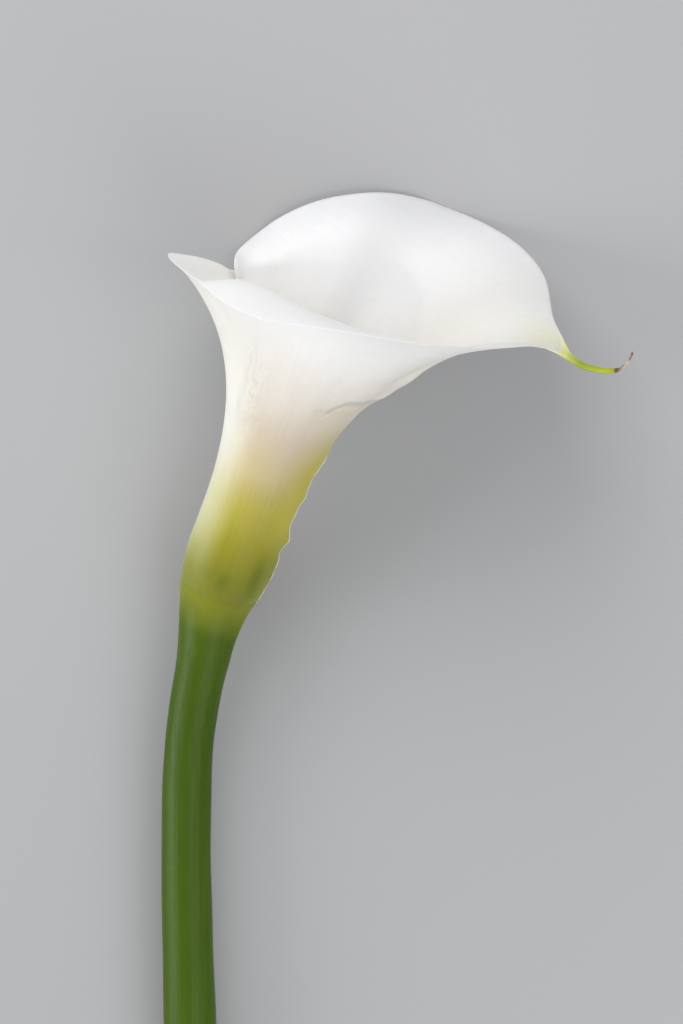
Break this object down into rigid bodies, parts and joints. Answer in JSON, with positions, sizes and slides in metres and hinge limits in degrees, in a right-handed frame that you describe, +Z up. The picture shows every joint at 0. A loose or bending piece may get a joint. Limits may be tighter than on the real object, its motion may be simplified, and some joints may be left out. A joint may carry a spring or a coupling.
{
  "type": "calla lily flower",
  "caption": "Single cut calla lily lying on its side: a white spathe rolled into a flared funnel with a curled tail, on a long bare green stem, with a yellow spadix inside.",
  "frame": {"origin": "centre of the footprint of the flower as it lies, on the surface it lies on", "axes": "+Y from the cut foot of the stem towards the flower head, +X towards the tail of the lip, +Z up from the surface it lies on"},
  "size_m": [0.1318, 0.2838, 0.0977],
  "materials": {
    "stem_skin": "smooth waxy green plant skin with fine lengthwise lines and a moist pale cut end",
    "spathe_sheet": "soft satin white petal, thin and letting light through, turning cream, yellow and olive green towards its foot, with a green tail ending in a dry brown thread",
    "spadix_florets": "matt golden yellow, finely beaded with florets"
  },
  "bodies": {
    "root": {"stem": "stem_skin", "spathe": "spathe_sheet", "spadix": "spadix_florets"}
  },
  "joints": []
}
